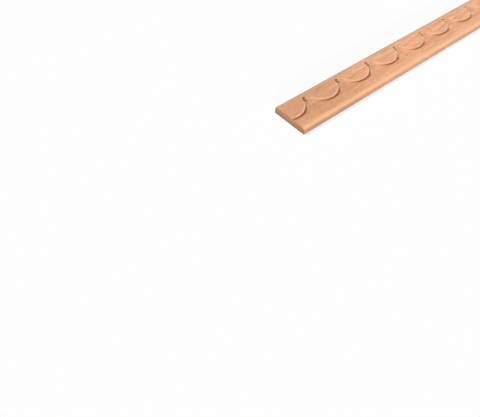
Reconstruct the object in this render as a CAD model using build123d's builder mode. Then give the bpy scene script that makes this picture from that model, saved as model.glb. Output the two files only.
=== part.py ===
"""Beech trim strip with a scalloped face: a row of raised lobes over a coved recess.

The strip is one piece of wood, so it is one solid. It lies on its flat back:
X runs along its length, +Y points to its square edge, above the lobes, and +Z is up.
The origin is at the middle of the back. All sizes are millimetres.
"""

from build123d import *

import os
from math import sqrt

# Stock
length = 1000.0
width = 32.0
thickness = 6.0

# Row of lobes: places along the strip from its -X end, and across it down from the square edge
pitch = 36.7
first_gap = 25.0
lobe_centre_drop = 2.7
gap_head_drop = 7.1
gap_head_radius = 2.55
lobe_chamfer = 0.75

# Rounded shoulder along the square edge
shoulder_run = 5.3
shoulder_fall = 1.3

# Recess behind the lobes: a flat floor, then a cove that climbs to a ridge
floor_depth = 2.1
cove_run = 7.3
ridge_depth = 0.25
ridge_round = 0.4

# Plain band below the ridge, and the bevelled lower edge
band_run = 6.3
band_fall = 0.15
band_round = 0.8
bevel_run = 3.2
bevel_fall = 1.2
bevel_round = 0.5

# Groove from the head of each gap down to the bevel, and the round pit that it starts from
groove_width = 1.3
groove_depth = 0.5
pit_radius = 2.2
pit_depth = 1.0

# Air that a cutter takes in beyond the wood
cutter_reach = 1.0

# Levels above the back
floor_level = thickness - floor_depth
ridge_level = thickness - ridge_depth
band_end_level = ridge_level - band_fall
side_level = band_end_level - bevel_fall
shoulder_level = thickness - shoulder_fall

# Places across the strip
square_edge = width / 2
lower_edge = -width / 2
band_end = lower_edge + bevel_run
ridge = band_end + band_run
cove_start = ridge + cove_run
lobe_line = square_edge - lobe_centre_drop
gap_line = square_edge - gap_head_drop
shoulder_start = square_edge - shoulder_run

# Row along the strip: each gap's round head is tangent to the lobes on both sides of it
gap_reach = gap_head_drop - lobe_centre_drop
centre_distance = sqrt((pitch / 2) ** 2 + gap_reach**2)
lobe_radius = centre_distance - gap_head_radius
lobe_half_width = lobe_radius / centre_distance * pitch / 2
gap_half_width = pitch / 2 - lobe_half_width
tangent_line = lobe_line - lobe_radius / centre_distance * gap_reach
gap_count = int((length - first_gap) // pitch) + 1
first_gap_x = first_gap - length / 2
gap_xs = [first_gap_x + pitch * index for index in range(gap_count)]

# One gap more past each end carries the outline of the row over the cut ends
outline_gap_xs = [gap_xs[0] - pitch, *gap_xs, gap_xs[-1] + pitch]
outline_lobe_xs = [gap_x + pitch / 2 for gap_x in outline_gap_xs[:-1]]
row_start = outline_lobe_xs[0] - lobe_half_width
row_end = outline_lobe_xs[-1] + lobe_half_width


def groove_plane(path):
    """Plane square to a groove's path at its start, with its own y axis out of the wood."""
    return Plane(path @ 0, x_dir=(1, 0, 0), z_dir=path % 0)


# V-shaped cutter for one groove at x = 0: one run along floor and cove, one along the band
with BuildLine(Plane.YZ) as recess_path:
    floor_path = Line((gap_line, floor_level), (cove_start, floor_level))
    cove_path = TangentArc(floor_path @ 1, (ridge, ridge_level), tangent=floor_path % 1)
    Line(cove_path @ 1, cove_path @ 1 + (cove_path % 1) * cutter_reach)

band_direction = Vector(0, band_end - ridge, band_end_level - ridge_level).normalized()
with BuildLine(Plane.YZ) as band_path:
    Line(
        Vector(0, ridge, ridge_level) - band_direction * cutter_reach,
        Vector(0, band_end, band_end_level) + band_direction * (bevel_run + cutter_reach),
    )

with BuildPart() as groove_cutter:
    mouth_half_width = groove_width / 2 * (1 + cutter_reach / groove_depth)
    for path in (recess_path.line, band_path.line):
        with BuildSketch(groove_plane(path)) as groove_profile:
            with BuildLine():
                Polyline(
                    (0, -groove_depth),
                    (mouth_half_width, cutter_reach),
                    (-mouth_half_width, cutter_reach),
                    close=True,
                )
            make_face()
        sweep(groove_profile.sketch, path=path)


with BuildPart() as beech_strip:
    # Raised row: a head along the square edge with the lobes hanging from it
    with BuildSketch() as row_outline:
        with BuildLine():
            for lobe_x in outline_lobe_xs:
                ThreePointArc(
                    (lobe_x - lobe_half_width, tangent_line),
                    (lobe_x, lobe_line - lobe_radius),
                    (lobe_x + lobe_half_width, tangent_line),
                )
            for gap_x in outline_gap_xs[1:-1]:
                ThreePointArc(
                    (gap_x - gap_half_width, tangent_line),
                    (gap_x, gap_line + gap_head_radius),
                    (gap_x + gap_half_width, tangent_line),
                )
            Polyline(
                (row_end, tangent_line),
                (row_end, square_edge),
                (row_start, square_edge),
                (row_start, tangent_line),
            )
        make_face()
        Rectangle(length, width, mode=Mode.INTERSECT)
    extrude(amount=thickness)
    row_face = beech_strip.faces().sort_by(Axis.Z)[-1]
    chamfer(row_face.edges().filter_by(GeomType.CIRCLE), length=lobe_chamfer)

    # Shoulder that rounds the face over to the square edge
    with BuildSketch(Plane.YZ) as shoulder:
        with BuildLine():
            TangentArc((shoulder_start, thickness), (square_edge, shoulder_level), tangent=(1, 0))
            Polyline(
                (square_edge, shoulder_level),
                (square_edge + cutter_reach, shoulder_level),
                (square_edge + cutter_reach, thickness + cutter_reach),
                (shoulder_start, thickness + cutter_reach),
                (shoulder_start, thickness),
            )
        make_face()
    extrude(amount=length / 2 + cutter_reach, both=True, mode=Mode.SUBTRACT)

    # Lower layer: floor of the recess, cove, ridge, band and bevelled edge, over the flat back
    with BuildSketch(Plane.YZ) as section:
        with BuildLine():
            Polyline(
                (lower_edge, side_level),
                (lower_edge, 0),
                (square_edge, 0),
                (square_edge, floor_level),
                (cove_start, floor_level),
            )
            TangentArc((cove_start, floor_level), (ridge, ridge_level), tangent=(-1, 0))
            Polyline((ridge, ridge_level), (band_end, band_end_level), (lower_edge, side_level))
        make_face()
        fillet(section.vertices().sort_by_distance((ridge, ridge_level))[0], radius=ridge_round)
        fillet(section.vertices().sort_by_distance((band_end, band_end_level))[0], radius=band_round)
        fillet(section.vertices().sort_by_distance((lower_edge, side_level))[0], radius=bevel_round)
    extrude(amount=length / 2, both=True)

    # Round pit in the floor at the head of each gap
    with Locations([(gap_x, gap_line, floor_level) for gap_x in gap_xs]):
        Cone(0, pit_radius, pit_depth, align=(Align.CENTER, Align.CENTER, Align.MAX), mode=Mode.SUBTRACT)

    # Groove down from each pit
    with Locations([(gap_x, 0, 0) for gap_x in gap_xs]):
        add(groove_cutter.part, mode=Mode.SUBTRACT)

beech_strip.part.label = "beech_strip"

os.makedirs("parts", exist_ok=True)
export_step(beech_strip.part, "parts/beech_strip.step")
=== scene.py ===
"""Studio scene for a beech trim strip with a scalloped face.

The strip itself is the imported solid. This script gives it a beech finish, lays it on a pale
floor, lights it softly and sets the camera at one end of it, looking down along its face.
Lengths in the classes are millimetres where the name or the class says so, and metres otherwise.
"""

from __future__ import annotations

import logging
from dataclasses import dataclass
from enum import Enum
from math import cos, hypot, pi, radians, sin
from typing import Any

import bpy
from mathutils import Matrix, Vector

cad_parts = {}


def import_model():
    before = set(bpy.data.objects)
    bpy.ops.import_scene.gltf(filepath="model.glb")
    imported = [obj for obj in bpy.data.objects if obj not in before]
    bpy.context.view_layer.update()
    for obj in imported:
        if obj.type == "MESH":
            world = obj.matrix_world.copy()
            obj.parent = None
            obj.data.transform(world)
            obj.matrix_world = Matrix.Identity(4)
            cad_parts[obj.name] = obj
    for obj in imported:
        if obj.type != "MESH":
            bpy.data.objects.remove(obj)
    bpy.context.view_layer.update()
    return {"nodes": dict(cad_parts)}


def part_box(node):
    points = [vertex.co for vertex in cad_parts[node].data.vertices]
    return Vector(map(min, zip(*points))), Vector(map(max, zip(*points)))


LOG = logging.getLogger("beech_strip_scene")
MM = 0.001
IMAGE_WIDTH_PX = 480
SENSOR_WIDTH_MM = 36.0

# Length between the rings of Blender's wave pattern at a scale of 1
WAVE_UNIT = 2 * pi / 20

Colour = tuple[float, float, float, float]
# Value where something starts, and value where it is full
Run = tuple[float, float]


def linear(hex_colour: str) -> Colour:
    """Turn an sRGB hex colour into Blender's linear colour.

    Args:
        hex_colour: Six hex digits, such as "e2aa85".

    Returns:
        Linear red, green and blue, with an alpha of 1.
    """
    channels = [int(hex_colour[start:start + 2], 16) / 255 for start in (0, 2, 4)]
    red, green, blue = (
        value / 12.92 if value <= 0.04045 else ((value + 0.055) / 1.055) ** 2.4
        for value in channels
    )
    return red, green, blue, 1.0


def add_node(
    tree: bpy.types.NodeTree,
    kind: str,
    settings: dict[str | int, Any] | None = None,
    links: dict[str | int, bpy.types.NodeSocket] | None = None,
) -> bpy.types.Node:
    """Add a node with its settings and links.

    Args:
        tree: Node tree that gets the node.
        kind: Blender's name for the kind of node.
        settings: Values for the node's properties, or for its inputs by name or number.
        links: Sockets that feed the node's inputs, by the input's name or number.

    Returns:
        The new node.
    """
    node = tree.nodes.new(kind)
    for key, value in (settings or {}).items():
        if isinstance(key, str) and hasattr(node, key):
            setattr(node, key, value)
        else:
            node.inputs[key].default_value = value
    for key, socket in (links or {}).items():
        tree.links.new(socket, node.inputs[key])
    return node


class LampPlace(Enum):
    """Where a lamp stands: degrees clockwise from +Y seen from above, and degrees up."""

    KEY = (-50.0, 51.0)
    HIGH = (180.0, 78.0)
    FRONT = (225.0, 8.0)


class Measure(Enum):
    """What a tone on the strip can follow. All but LEVEL are in millimetres."""

    ACROSS = "place across the strip"
    UP = "height above the back"
    FROM_MIDDLE = "distance from the middle of the strip's length"
    FROM_GAP = "distance from the middle line of the nearest gap"
    FROM_LOBE = "distance from the centre of the nearest lobe, seen from above"
    FROM_HEAD = "distance from the centre of the nearest gap's round head, seen from above"
    FROM_FOOT = "distance from the darkest place at the foot of the nearest lobe, seen from above"
    LEVEL = "how far the surface faces up: 1 where it is level, 0 where it is upright"


@dataclass(frozen=True)
class Relief:
    """Places of the strip's relief, in millimetres of the strip's own frame."""

    near_end: float
    square_edge: float
    lower_edge: float
    thickness: float
    pitch: float = 36.7
    first_gap: float = 25.0
    lobe_centre_drop: float = 2.7
    gap_head_drop: float = 7.1
    gap_head_radius: float = 2.55
    floor_depth: float = 2.1
    band_run: float = 6.3
    bevel_run: float = 3.2
    side_height: float = 4.4
    groove_width: float = 1.3
    # Degrees from a lobe's lowest point to the middle of the painted shade at its foot
    foot_shade_angle: float = 12.0

    @property
    def half_length(self) -> float:
        """Distance from the middle of the strip to its ends."""
        return -self.near_end

    @property
    def bevel_top(self) -> float:
        """Place across the strip where the band ends and the bevel starts."""
        return self.lower_edge + self.bevel_run

    @property
    def ridge(self) -> float:
        """Place across the strip of the ridge between the cove and the band."""
        return self.bevel_top + self.band_run

    @property
    def lobe_line(self) -> float:
        """Place across the strip of the lobes' centres."""
        return self.square_edge - self.lobe_centre_drop

    @property
    def gap_line(self) -> float:
        """Place across the strip of the centres of the gaps' round heads."""
        return self.square_edge - self.gap_head_drop

    @property
    def lobe_radius(self) -> float:
        """Radius of a lobe, whose edge runs on into the gaps' round heads."""
        gap_reach = self.gap_head_drop - self.lobe_centre_drop
        return hypot(self.pitch / 2, gap_reach) - self.gap_head_radius

    @property
    def floor_level(self) -> float:
        """Height of the recess's floor above the back."""
        return self.thickness - self.floor_depth


@dataclass(frozen=True)
class Ramp:
    """A measure, its value where a tone starts and its value where the tone is full."""

    measure: Measure
    start: float
    full: float

    @classmethod
    def set_out(cls, measure: Measure, origin: float, run: Run) -> Ramp:
        """Set a ramp out from a line or a level of the strip.

        Args:
            measure: What the ramp follows.
            origin: Value of the measure at the line or level.
            run: Start and full value, counted from there.

        Returns:
            The ramp.
        """
        start, full = run
        return cls(measure, origin + start, origin + full)


@dataclass(frozen=True)
class Tone:
    """A tone on one part of the strip, whose share of the colour is the product of its ramps."""

    colour: str
    most: float
    ramps: tuple[Ramp, ...]


@dataclass(frozen=True)
class ToneRuns:
    """Where the tones start and where they are full.

    Runs are in millimetres, counted from what the comment above them names. The slopes at the
    end are values of Measure.LEVEL.
    """

    # From the ends
    darker_ends: Run = (-90.0, -45.0)
    end_face: Run = (-0.15, -0.02)
    # From the square edge
    inside_square_edge: Run = (-0.5, -1.0)
    greyed_edge: Run = (-6.36, -0.5)
    edge_line: Run = (-1.4, -0.6)
    # From the lower edge
    inside_lower_edge: Run = (0.5, 1.0)
    groove_foot: Run = (3.0, 3.4)
    groove_lean_foot: Run = (1.6, 3.2)
    # From the top of the bevel
    bevel_head: Run = (1.0, -1.2)
    # From the ridge
    cove_foot: Run = (-0.5, 2.0)
    cove_head: Run = (6.0, 3.5)
    # From the line of the gaps' round heads
    head_top: Run = (1.5, 0.5)
    cap_foot: Run = (0.0, 1.0)
    groove_lean_head: Run = (0.0, -2.55)
    # From the line of the lobes' centres
    rim_head: Run = (-4.0, -7.0)
    groove_head: Run = (-12.0, -13.0)
    # From the line of the lobes' lowest points
    arris_foot: Run = (-2.0, -1.0)
    # From the edge of a lobe
    rim_inner: Run = (-1.8, -0.9)
    rim_outer: Run = (0.5, 0.2)
    foot_inner: Run = (-0.2, 0.0)
    foot_outer: Run = (2.6, 1.6)
    # From the darkest place at the foot of a lobe
    foot_length: Run = (12.5, 5.5)
    # From the centre of a gap's round head
    head_round: Run = (8.925, 3.57)
    cap_round: Run = (4.08, 3.57)
    pit_round: Run = (2.295, 1.02)
    # From the side of a groove
    groove_side: Run = (0.1, -0.2)
    groove_lean_side: Run = (0.2, 0.0)
    # From the level of the face
    below_face: Run = (-0.075, -0.225)
    below_arris: Run = (-0.9, -1.2)
    head_level: Run = (-0.75, -0.9)
    rim_level: Run = (-0.9, -0.75)
    arris_level: Run = (-0.825, -0.75)
    # From the level of the recess's floor
    pit_level: Run = (0.0, -0.2)
    # From the top of the upright side
    bevel_foot: Run = (-0.4, 0.2)
    # From the back
    # Painted light on the ends, paler towards the face
    end_top_light: Run = (0.5, 6.0)
    # Slopes
    upright: Run = (0.6, 0.3)
    steep: Run = (0.8, 0.6)
    not_level: Run = (0.95, 0.85)
    not_upright: Run = (0.4, 0.6)


@dataclass(frozen=True)
class ToneShares:
    """Each tone's share of the colour where it is full."""

    darker_ends: float = 0.42
    cove: float = 0.3
    walls: float = 0.3
    feet: float = 0.9
    heads: float = 0.6
    caps: float = 0.3
    pits: float = 0.7
    grooves: float = 0.25
    rims: float = 0.4
    bevel: float = 0.72
    greyed_edge: float = 0.6
    edge_line: float = 0.5


@dataclass(frozen=True)
class BeechFinish:
    """Planed and moulded beech, left bare.

    The eye gets a pale pinkish tan with a soft lustre, faint arched growth rings, short fibre
    streaks along the strip, and the small brown ray flecks that tell beech from other woods.
    Painted shade darkens the feet of the lobes, most on their lower right, the gaps' round heads,
    the pits in the gaps, the cove and the grooves. Painted light makes the upright walls, the caps
    of the gaps and the rims of the lobes paler, and a painted highlight lies on the bevel. The
    stretch next to each end is darker. The sawn ends show open pores, so they are darker still,
    and painted light makes them paler towards the face. Painted shade and grey sheen lie on the
    shoulder by the square edge, with a painted shade line along it.
    """

    relief: Relief
    name: str = "beech_planed"
    early_wood: str = "fdc69b"
    late_wood: str = "c68a62"
    pink_wood: str = "e7a882"
    fleck: str = "b0704a"
    # Brown of the painted shade along the feet of the lobes
    foot_shade_brown: str = "b27248"
    # Brown of the painted shade in the pits
    pit_shade_brown: str = "6e4529"
    # Brown of the painted shade in the cove and the grooves, also laid on the darker ends
    shade_and_end_brown: str = "b98560"
    # Greyish brown of the painted shade round the gaps' round heads
    head_shade_grey: str = "bb9679"
    # Pale tan of the painted light on the upright walls, the caps of the gaps and the rims of the
    # lobes
    painted_light_tan: str = "fcd0a8"
    # Pale orange of the painted highlight on the bevel
    bevel_highlight: str = "ffc694"
    # Grey of the painted shade and sheen on the shoulder by the square edge
    edge_shade_grey: str = "b8a394"
    # Colour of the sawn end grain, also used for the painted shade line along the square edge
    end_grain_and_edge_shade: str = "906a50"
    end_pore: str = "6b4a36"
    # Paler end colour of the painted light towards the face
    end_top_light: str = "ae7d5a"
    runs: ToneRuns = ToneRuns()
    shares: ToneShares = ToneShares()
    ring_spacing_mm: float = 2.4
    ring_wander_mm: float = 1.6
    # Place of the tree's middle across the strip and up, and its tilt and swing in degrees
    pith_mm: tuple[float, float] = (-22.0, -58.0)
    pith_tilt: tuple[float, float] = (1.3, 0.7)
    # Sizes of one mark along the grain and across it
    streak_mm: tuple[float, float] = (22.0, 1.3)
    tone_mm: tuple[float, float] = (45.0, 10.0)
    # Real flecks are about 0.2 mm wide and fibres finer still. Both are drawn wider, so that
    # they show
    fleck_mm: tuple[float, float] = (6.0, 1.3)
    fibre_mm: tuple[float, float] = (9.0, 0.9)
    fibre_height_mm: float = 0.03
    # Real pores are under 0.1 mm wide, so they are drawn in groups of this size
    pore_mm: float = 1.0
    # Values of the patterns between which their marks fade in
    streak_fade: Run = (0.3, 0.7)
    shade_fade: Run = (0.1, 1.25)
    pink_fade: Run = (0.4, 0.65)
    fleck_fade: Run = (0.12, 0.32)
    pore_fade: Run = (0.4, 0.7)
    ring_share: float = 0.35
    pink_share: float = 0.7
    fleck_share: float = 0.5
    # How far the arrises and the grooves are shaded as if they were level
    arris_lean: float = 0.9
    groove_lean: float = 0.7
    roughness: float = 0.52
    specular: float = 0.25

    def tones(self) -> tuple[Tone, ...]:
        """List the tones over the grain, the lowest first.

        Returns:
            Tones of the darker ends; painted shade in the cove, at the feet, gap heads and pits,
            in the grooves and by the edge; painted light on the walls, caps, rims and bevel.
        """
        relief, runs, shares = self.relief, self.runs, self.shares
        ramp = Ramp.set_out
        # The face is darker towards each end
        darker_ends = (ramp(Measure.FROM_MIDDLE, relief.half_length, runs.darker_ends),)
        # Painted shade in the cove below the ridge
        cove = (
            ramp(Measure.ACROSS, relief.ridge, runs.cove_foot),
            ramp(Measure.ACROSS, relief.ridge, runs.cove_head),
            ramp(Measure.UP, relief.thickness, runs.below_face),
        )
        # Painted light that makes the upright walls paler
        walls = (
            ramp(Measure.ACROSS, relief.lower_edge, runs.inside_lower_edge),
            ramp(Measure.ACROSS, relief.square_edge, runs.inside_square_edge),
            Ramp(Measure.LEVEL, *runs.upright),
        )
        # Painted shade along the foot of each lobe, heaviest on its lower right
        feet = (
            Ramp(Measure.FROM_FOOT, *runs.foot_length),
            ramp(Measure.FROM_LOBE, relief.lobe_radius, runs.foot_outer),
            ramp(Measure.FROM_LOBE, relief.lobe_radius, runs.foot_inner),
            ramp(Measure.UP, relief.thickness, runs.below_arris),
        )
        # Painted shade in the recess round the gaps' round heads
        heads = (
            Ramp(Measure.FROM_HEAD, *runs.head_round),
            ramp(Measure.UP, relief.thickness, runs.head_level),
            ramp(Measure.ACROSS, relief.gap_line, runs.head_top),
        )
        # Painted light on the steep walls at the caps of the gaps, against their shade
        caps = (
            Ramp(Measure.LEVEL, *runs.steep),
            Ramp(Measure.FROM_HEAD, *runs.cap_round),
            ramp(Measure.ACROSS, relief.gap_line, runs.cap_foot),
        )
        # Painted shade in the pits
        pits = (
            Ramp(Measure.FROM_HEAD, *runs.pit_round),
            ramp(Measure.UP, relief.floor_level, runs.pit_level),
        )
        # Painted shade in the grooves
        grooves = (
            ramp(Measure.FROM_GAP, relief.groove_width / 2, runs.groove_side),
            ramp(Measure.ACROSS, relief.lower_edge, runs.groove_foot),
            ramp(Measure.ACROSS, relief.lobe_line, runs.groove_head),
        )
        # Painted highlight along the lower rims of the lobes
        rims = (
            ramp(Measure.FROM_LOBE, relief.lobe_radius, runs.rim_inner),
            ramp(Measure.FROM_LOBE, relief.lobe_radius, runs.rim_outer),
            ramp(Measure.UP, relief.thickness, runs.rim_level),
            ramp(Measure.ACROSS, relief.lobe_line, runs.rim_head),
        )
        # Painted highlight on the bevel
        bevel = (
            ramp(Measure.ACROSS, relief.bevel_top, runs.bevel_head),
            ramp(Measure.UP, relief.side_height, runs.bevel_foot),
        )
        # Painted shade and grey sheen on the shoulder by the square edge
        greyed_edge = (ramp(Measure.ACROSS, relief.square_edge, runs.greyed_edge),)
        # Painted shade line along the square edge
        edge_line = (ramp(Measure.ACROSS, relief.square_edge, runs.edge_line),)
        return (
            Tone(self.shade_and_end_brown, shares.darker_ends, darker_ends),
            Tone(self.shade_and_end_brown, shares.cove, cove),
            Tone(self.painted_light_tan, shares.walls, walls),
            Tone(self.foot_shade_brown, shares.feet, feet),
            Tone(self.head_shade_grey, shares.heads, heads),
            Tone(self.painted_light_tan, shares.caps, caps),
            Tone(self.pit_shade_brown, shares.pits, pits),
            Tone(self.shade_and_end_brown, shares.grooves, grooves),
            Tone(self.painted_light_tan, shares.rims, rims),
            Tone(self.bevel_highlight, shares.bevel, bevel),
            Tone(self.edge_shade_grey, shares.greyed_edge, greyed_edge),
            Tone(self.end_grain_and_edge_shade, shares.edge_line, edge_line),
        )

    def measures(
        self, tree: bpy.types.NodeTree, place: bpy.types.NodeSocket, normal: bpy.types.NodeSocket
    ) -> dict[Measure, bpy.types.NodeSocket]:
        """Work out the measures that tones follow.

        Args:
            tree: Material's node tree.
            place: Coordinates in millimetres.
            normal: The surface's direction in the strip's own frame.

        Returns:
            Each measure's socket.
        """
        relief = self.relief
        axes = add_node(tree, "ShaderNodeSeparateXYZ", links={"Vector": place})
        facing = add_node(tree, "ShaderNodeSeparateXYZ", links={"Vector": normal})
        from_middle = add_node(
            tree,
            "ShaderNodeMath",
            {"operation": "ABSOLUTE"},
            {0: axes.outputs["X"]},
        )
        along = add_node(
            tree,
            "ShaderNodeMath",
            {"operation": "SUBTRACT", 1: relief.near_end + relief.first_gap},
            {0: axes.outputs["X"]},
        )
        from_gap = add_node(
            tree,
            "ShaderNodeMath",
            {"operation": "PINGPONG", 1: relief.pitch / 2},
            {0: along.outputs["Value"]},
        )
        seen_from_above = add_node(
            tree,
            "ShaderNodeCombineXYZ",
            links={"X": from_gap.outputs["Value"], "Y": axes.outputs["Y"]},
        )
        from_lobe = add_node(
            tree,
            "ShaderNodeVectorMath",
            {"operation": "DISTANCE", 1: (relief.pitch / 2, relief.lobe_line, 0.0)},
            {0: seen_from_above.outputs["Vector"]},
        )
        from_head = add_node(
            tree,
            "ShaderNodeVectorMath",
            {"operation": "DISTANCE", 1: (0.0, relief.gap_line, 0.0)},
            {0: seen_from_above.outputs["Vector"]},
        )
        along_lobe = add_node(
            tree,
            "ShaderNodeMath",
            {"operation": "WRAP", 1: relief.pitch, 2: 0.0},
            {0: along.outputs["Value"]},
        )
        place_on_lobe = add_node(
            tree,
            "ShaderNodeCombineXYZ",
            links={"X": along_lobe.outputs["Value"], "Y": axes.outputs["Y"]},
        )
        # Middle of the painted shade at the foot of a lobe
        turn = radians(relief.foot_shade_angle)
        foot = (
            relief.pitch / 2 + relief.lobe_radius * sin(turn),
            relief.lobe_line - relief.lobe_radius * cos(turn),
            0.0,
        )
        from_foot = add_node(
            tree,
            "ShaderNodeVectorMath",
            {"operation": "DISTANCE", 1: foot},
            {0: place_on_lobe.outputs["Vector"]},
        )
        return {
            Measure.ACROSS: axes.outputs["Y"],
            Measure.UP: axes.outputs["Z"],
            Measure.FROM_MIDDLE: from_middle.outputs["Value"],
            Measure.FROM_GAP: from_gap.outputs["Value"],
            Measure.FROM_LOBE: from_lobe.outputs["Value"],
            Measure.FROM_HEAD: from_head.outputs["Value"],
            Measure.FROM_FOOT: from_foot.outputs["Value"],
            Measure.LEVEL: facing.outputs["Z"],
        }

    def share(
        self,
        tree: bpy.types.NodeTree,
        measures: dict[Measure, bpy.types.NodeSocket],
        ramps: tuple[Ramp, ...],
        most: float,
    ) -> bpy.types.NodeSocket:
        """Multiply ramps into one share.

        Args:
            tree: Material's node tree.
            measures: Each measure's socket.
            ramps: What the share follows, and where it starts and is full.
            most: Share where all ramps are full.

        Returns:
            Value between 0 and the most.
        """
        result = None
        for ramp in ramps:
            limits = {"From Min": ramp.start, "From Max": ramp.full, "To Max": most}
            links = {"Value": measures[ramp.measure]}
            if result is not None:
                links["To Max"] = result
            result = add_node(tree, "ShaderNodeMapRange", limits, links).outputs["Result"]
        return result

    def along_grain(
        self,
        tree: bpy.types.NodeTree,
        place: bpy.types.NodeSocket,
        size_mm: tuple[float, float],
    ) -> bpy.types.NodeSocket:
        """Stretch the coordinates of a pattern along the strip.

        Args:
            tree: Material's node tree.
            place: Coordinates in millimetres.
            size_mm: Size of one mark along the grain and across it.

        Returns:
            Coordinates in which one mark is one unit each way.
        """
        along, across = size_mm
        stretch = {"vector_type": "POINT", "Scale": (1 / along, 1 / across, 1 / across)}
        return add_node(tree, "ShaderNodeMapping", stretch, {"Vector": place}).outputs["Vector"]

    def rings(self, tree: bpy.types.NodeTree, place: bpy.types.NodeSocket) -> bpy.types.NodeSocket:
        """Add the growth rings: tilted cylinders round a pith below the strip.

        Args:
            tree: Material's node tree.
            place: Coordinates in millimetres.

        Returns:
            Value that climbs from 0 in early wood to 1 in late wood over each ring.
        """
        across, up = self.pith_mm
        tilt, swing = (radians(angle) for angle in self.pith_tilt)
        turn = {
            "vector_type": "POINT",
            "Location": (0.0, -across, -up),
            "Rotation": (0.0, tilt, swing),
        }
        turned = add_node(tree, "ShaderNodeMapping", turn, {"Vector": place})
        wave = {
            "wave_type": "RINGS",
            "rings_direction": "X",
            "wave_profile": "SAW",
            "Scale": WAVE_UNIT / self.ring_spacing_mm,
            "Distortion": self.ring_wander_mm / self.ring_spacing_mm * 2 * pi,
            "Detail": 2.0,
            "Detail Scale": 0.35,
        }
        links = {"Vector": turned.outputs["Vector"]}
        return add_node(tree, "ShaderNodeTexWave", wave, links).outputs["Fac"]

    def grain_colour(
        self, tree: bpy.types.NodeTree, place: bpy.types.NodeSocket
    ) -> bpy.types.NodeSocket:
        """Mix the colour of the faces that run along the grain.

        Args:
            tree: Material's node tree.
            place: Coordinates in millimetres.

        Returns:
            Colour of rings, streaks, tone and flecks together.
        """
        streaks = add_node(
            tree,
            "ShaderNodeTexNoise",
            {"Scale": 1.0, "Detail": 3.0, "Roughness": 0.6},
            {"Vector": self.along_grain(tree, place, self.streak_mm)},
        )
        late = add_node(
            tree,
            "ShaderNodeMapRange",
            {"From Min": self.streak_fade[0], "From Max": self.streak_fade[1]},
            {"Value": streaks.outputs["Fac"]},
        )
        ringed = add_node(
            tree,
            "ShaderNodeMath",
            {"operation": "MULTIPLY_ADD", 1: self.ring_share},
            {0: self.rings(tree, place), 2: late.outputs["Result"]},
        )
        shade = add_node(
            tree,
            "ShaderNodeMapRange",
            {"From Min": self.shade_fade[0], "From Max": self.shade_fade[1]},
            {"Value": ringed.outputs["Value"]},
        )
        grain = add_node(
            tree,
            "ShaderNodeMix",
            {"data_type": "RGBA", 6: linear(self.early_wood), 7: linear(self.late_wood)},
            {0: shade.outputs["Result"]},
        )
        tones = add_node(
            tree,
            "ShaderNodeTexNoise",
            {"Scale": 1.0, "Detail": 1.5},
            {"Vector": self.along_grain(tree, place, self.tone_mm)},
        )
        pink_share = add_node(
            tree,
            "ShaderNodeMapRange",
            {
                "From Min": self.pink_fade[0],
                "From Max": self.pink_fade[1],
                "To Max": self.pink_share,
            },
            {"Value": tones.outputs["Fac"]},
        )
        toned = add_node(
            tree,
            "ShaderNodeMix",
            {"data_type": "RGBA", 7: linear(self.pink_wood)},
            {0: pink_share.outputs["Result"], 6: grain.outputs[2]},
        )
        cells = add_node(
            tree,
            "ShaderNodeTexVoronoi",
            {"Scale": 1.0},
            {"Vector": self.along_grain(tree, place, self.fleck_mm)},
        )
        fleck_share = add_node(
            tree,
            "ShaderNodeMapRange",
            {
                "From Min": self.fleck_fade[0],
                "From Max": self.fleck_fade[1],
                "To Min": self.fleck_share,
                "To Max": 0.0,
            },
            {"Value": cells.outputs["Distance"]},
        )
        flecked = add_node(
            tree,
            "ShaderNodeMix",
            {"data_type": "RGBA", 7: linear(self.fleck)},
            {0: fleck_share.outputs["Result"], 6: toned.outputs[2]},
        )
        return flecked.outputs[2]

    def end_colour(
        self,
        tree: bpy.types.NodeTree,
        place: bpy.types.NodeSocket,
        measures: dict[Measure, bpy.types.NodeSocket],
    ) -> bpy.types.NodeSocket:
        """Mix the colour of the sawn ends.

        Args:
            tree: Material's node tree.
            place: Coordinates in millimetres.
            measures: Each measure's socket.

        Returns:
            Colour of the end grain with its pores, with painted light that makes it paler towards
            the face.
        """
        pores = add_node(
            tree,
            "ShaderNodeTexNoise",
            {"Scale": 1 / self.pore_mm, "Detail": 2.0},
            {"Vector": place},
        )
        pore_share = add_node(
            tree,
            "ShaderNodeMapRange",
            {"From Min": self.pore_fade[0], "From Max": self.pore_fade[1]},
            {"Value": pores.outputs["Fac"]},
        )
        sawn = add_node(
            tree,
            "ShaderNodeMix",
            {"data_type": "RGBA", 6: linear(self.end_grain_and_edge_shade), 7: linear(self.end_pore)},
            {0: pore_share.outputs["Result"]},
        )
        # Painted light: the ends are paler towards the face
        towards_face = (Ramp(Measure.UP, *self.runs.end_top_light),)
        return add_node(
            tree,
            "ShaderNodeMix",
            {"data_type": "RGBA", 7: linear(self.end_top_light)},
            {0: self.share(tree, measures, towards_face, 1.0), 6: sawn.outputs[2]},
        ).outputs[2]

    def wood_colour(
        self,
        tree: bpy.types.NodeTree,
        place: bpy.types.NodeSocket,
        measures: dict[Measure, bpy.types.NodeSocket],
    ) -> bpy.types.NodeSocket:
        """Lay the tones and the end grain over the grain.

        Args:
            tree: Material's node tree.
            place: Coordinates in millimetres.
            measures: Each measure's socket.

        Returns:
            Colour of the whole strip.
        """
        colour = self.grain_colour(tree, place)
        for tone in self.tones():
            colour = add_node(
                tree,
                "ShaderNodeMix",
                {"data_type": "RGBA", 7: linear(tone.colour)},
                {0: self.share(tree, measures, tone.ramps, tone.most), 6: colour},
            ).outputs[2]
        ends = (Ramp.set_out(Measure.FROM_MIDDLE, self.relief.half_length, self.runs.end_face),)
        return add_node(
            tree,
            "ShaderNodeMix",
            {"data_type": "RGBA"},
            {
                0: self.share(tree, measures, ends, 1.0),
                6: colour,
                7: self.end_colour(tree, place, measures),
            },
        ).outputs[2]

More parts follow.
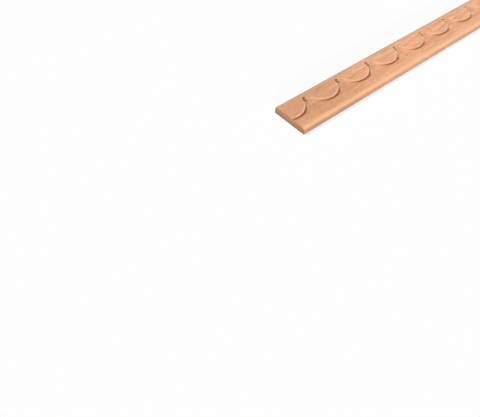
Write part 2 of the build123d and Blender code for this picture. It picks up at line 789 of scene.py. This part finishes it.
    def surface_direction(
        self,
        tree: bpy.types.NodeTree,
        place: bpy.types.NodeSocket,
        measures: dict[Measure, bpy.types.NodeSocket],
    ) -> bpy.types.NodeSocket:
        """Shade the arrises and grooves as if they were rounded over, and raise the fibres.

        Args:
            tree: Material's node tree.
            place: Coordinates in millimetres.
            measures: Each measure's socket.

        Returns:
            Direction in which the surface is shaded.
        """
        relief, runs = self.relief, self.runs
        ramp = Ramp.set_out
        sloping = (Ramp(Measure.LEVEL, *runs.not_level), Ramp(Measure.LEVEL, *runs.not_upright))
        arrises = (
            *sloping,
            ramp(Measure.UP, relief.thickness, runs.arris_level),
            ramp(Measure.ACROSS, relief.lobe_line - relief.lobe_radius, runs.arris_foot),
        )
        grooves = (
            *sloping,
            ramp(Measure.FROM_GAP, relief.groove_width / 2, runs.groove_lean_side),
            ramp(Measure.ACROSS, relief.lower_edge, runs.groove_lean_foot),
            ramp(Measure.ACROSS, relief.gap_line, runs.groove_lean_head),
        )
        up = add_node(
            tree,
            "ShaderNodeVectorTransform",
            {
                "vector_type": "NORMAL",
                "convert_from": "OBJECT",
                "convert_to": "WORLD",
                "Vector": (0.0, 0.0, 1.0),
            },
        )
        rounded = add_node(tree, "ShaderNodeNewGeometry").outputs["Normal"]
        for ramps, most in ((arrises, self.arris_lean), (grooves, self.groove_lean)):
            rounded = add_node(
                tree,
                "ShaderNodeMix",
                {"data_type": "VECTOR"},
                {0: self.share(tree, measures, ramps, most), 4: rounded, 5: up.outputs["Vector"]},
            ).outputs[1]
        fibres = add_node(
            tree,
            "ShaderNodeTexNoise",
            {"Scale": 1.0, "Detail": 2.0},
            {"Vector": self.along_grain(tree, place, self.fibre_mm)},
        )
        return add_node(
            tree,
            "ShaderNodeBump",
            {"Distance": self.fibre_height_mm * MM},
            {"Height": fibres.outputs["Fac"], "Normal": rounded},
        ).outputs["Normal"]

    def build(self) -> bpy.types.Material:
        """Make the material.

        Returns:
            The finished material.
        """
        material = bpy.data.materials.new(self.name)
        material.use_nodes = True
        # The correction would darken the arrises and grooves, which are shaded off their own slope
        material.cycles.use_bump_map_correction = False
        tree = material.node_tree
        shader = tree.nodes["Principled BSDF"]
        source = add_node(tree, "ShaderNodeTexCoord")
        place = add_node(
            tree,
            "ShaderNodeMapping",
            {"vector_type": "POINT", "Scale": (1 / MM, 1 / MM, 1 / MM)},
            {"Vector": source.outputs["Object"]},
        ).outputs["Vector"]
        measures = self.measures(tree, place, source.outputs["Normal"])
        tree.links.new(self.wood_colour(tree, place, measures), shader.inputs["Base Color"])
        tree.links.new(self.surface_direction(tree, place, measures), shader.inputs["Normal"])
        shader.inputs["Roughness"].default_value = self.roughness
        shader.inputs["Specular IOR Level"].default_value = self.specular
        return material


@dataclass
class TrimStrip:
    """The strip: one solid piece of beech, dressed in place."""

    node: bpy.types.Object
    finish: BeechFinish

    def dress(self) -> None:
        """Give the solid its beech finish."""
        self.node.data.materials.clear()
        self.node.data.materials.append(self.finish.build())


@dataclass
class Studio:
    """Pale floor, soft lamps and the camera."""

    floor_side: float = 12.0
    floor_gap_mm: float = 0.2
    floor_colour: str = "f8f8f8"
    white: str = "ffffff"
    floor_glow: float = 0.7
    world_strength: float = 0.15
    # Each lamp's place, its strength and the degrees over which it spreads
    lamps: tuple[tuple[LampPlace, float, float], ...] = (
        (LampPlace.KEY, 2.45, 6.0),
        (LampPlace.HIGH, 0.6, 20.0),
        (LampPlace.FRONT, 1.6, 4.0),
    )
    # The camera's place from the strip's near corner, and its turns in degrees
    eye_mm: tuple[float, float, float] = (-172.25, -174.94, 204.87)
    azimuth: float = 37.973
    elevation: float = 53.449
    roll: float = -0.842
    focal_px: float = 400.0
    nearest_mm: float = 1.0

    def seen(self, tree: bpy.types.NodeTree) -> bpy.types.NodeSocket:
        """Tell the rays that show a background from those that carry its light.

        Args:
            tree: Node tree of the background's material or of the world.

        Returns:
            Value of 1 for camera, mirrored and refracted rays, and 0 for others.
        """
        path = add_node(tree, "ShaderNodeLightPath")
        seen = path.outputs["Is Camera Ray"]
        for ray in ("Is Glossy Ray", "Is Transmission Ray"):
            either = add_node(
                tree,
                "ShaderNodeMath",
                {"operation": "MAXIMUM"},
                {0: seen, 1: path.outputs[ray]},
            )
            seen = either.outputs["Value"]
        return seen

    def lay_floor(self) -> None:
        """Add the floor just under the strip."""
        bpy.ops.object.select_all(action="DESELECT")
        place = (0.0, 0.0, -self.floor_gap_mm * MM)
        bpy.ops.mesh.primitive_plane_add(size=self.floor_side, location=place)
        floor = bpy.context.object
        floor.name = "floor"
        material = bpy.data.materials.new("floor_paper")
        material.use_nodes = True
        tree = material.node_tree
        shader = tree.nodes["Principled BSDF"]
        shader.inputs["Base Color"].default_value = linear(self.floor_colour)
        shader.inputs["Roughness"].default_value = 1.0
        shader.inputs["Specular IOR Level"].default_value = 0.0
        share = add_node(
            tree,
            "ShaderNodeMath",
            {"operation": "MULTIPLY", 1: self.floor_glow},
            {0: self.seen(tree)},
        )
        glow = add_node(tree, "ShaderNodeEmission", {"Color": linear(self.white), "Strength": 1.0})
        mixed = add_node(
            tree,
            "ShaderNodeMixShader",
            links={
                0: share.outputs["Value"],
                1: shader.outputs["BSDF"],
                2: glow.outputs["Emission"],
            },
        )
        tree.links.new(mixed.outputs["Shader"], tree.nodes["Material Output"].inputs["Surface"])
        floor.data.materials.append(material)

    def light(self) -> None:
        """Set the world's even light and add the lamps."""
        world = bpy.data.worlds.new("studio_world")
        bpy.context.scene.world = world
        world.use_nodes = True
        tree = world.node_tree
        background = tree.nodes["Background"]
        background.inputs["Color"].default_value = linear(self.white)
        shown = add_node(
            tree,
            "ShaderNodeMapRange",
            {"To Min": self.world_strength, "To Max": 1.0},
            {"Value": self.seen(tree)},
        )
        tree.links.new(shown.outputs["Result"], background.inputs["Strength"])
        for place, strength, spread in self.lamps:
            azimuth, elevation = place.value
            lamp = bpy.data.lights.new(place.name.lower() + "_lamp", "SUN")
            lamp.energy = strength
            lamp.angle = radians(spread)
            holder = bpy.data.objects.new(lamp.name, lamp)
            holder.rotation_euler = (radians(90.0 - elevation), 0.0, radians(180.0 - azimuth))
            bpy.context.scene.collection.objects.link(holder)

    def set_camera(self, corner: Vector) -> None:
        """Place the camera.

        Args:
            corner: The strip's near corner on its square edge, on the floor.
        """
        camera = bpy.data.cameras.new("camera")
        camera.sensor_width = SENSOR_WIDTH_MM
        camera.lens = self.focal_px * SENSOR_WIDTH_MM / IMAGE_WIDTH_PX
        camera.clip_start = self.nearest_mm * MM
        holder = bpy.data.objects.new("camera", camera)
        holder.matrix_world = (
            Matrix.Translation(corner + Vector(self.eye_mm) * MM)
            @ Matrix.Rotation(radians(-self.azimuth), 4, "Z")
            @ Matrix.Rotation(radians(90.0 - self.elevation), 4, "X")
            @ Matrix.Rotation(radians(self.roll), 4, "Z")
        )
        bpy.context.scene.collection.objects.link(holder)
        bpy.context.scene.camera = holder


def main() -> None:
    """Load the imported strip, dress it and set the studio around it."""
    logging.basicConfig(level=logging.INFO, format="%(name)s: %(message)s")
    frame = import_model()
    low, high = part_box("beech_strip")
    relief = Relief(low.x / MM, high.y / MM, low.y / MM, high.z / MM)
    strip = TrimStrip(frame["nodes"]["beech_strip"], BeechFinish(relief))
    strip.dress()
    LOG.info("dressed %s", strip.node.name)
    studio = Studio()
    studio.lay_floor()
    studio.light()
    studio.set_camera(Vector((low.x, high.y, low.z)))
    bpy.context.scene.view_settings.view_transform = "Standard"


if __name__ == "__main__":
    main()
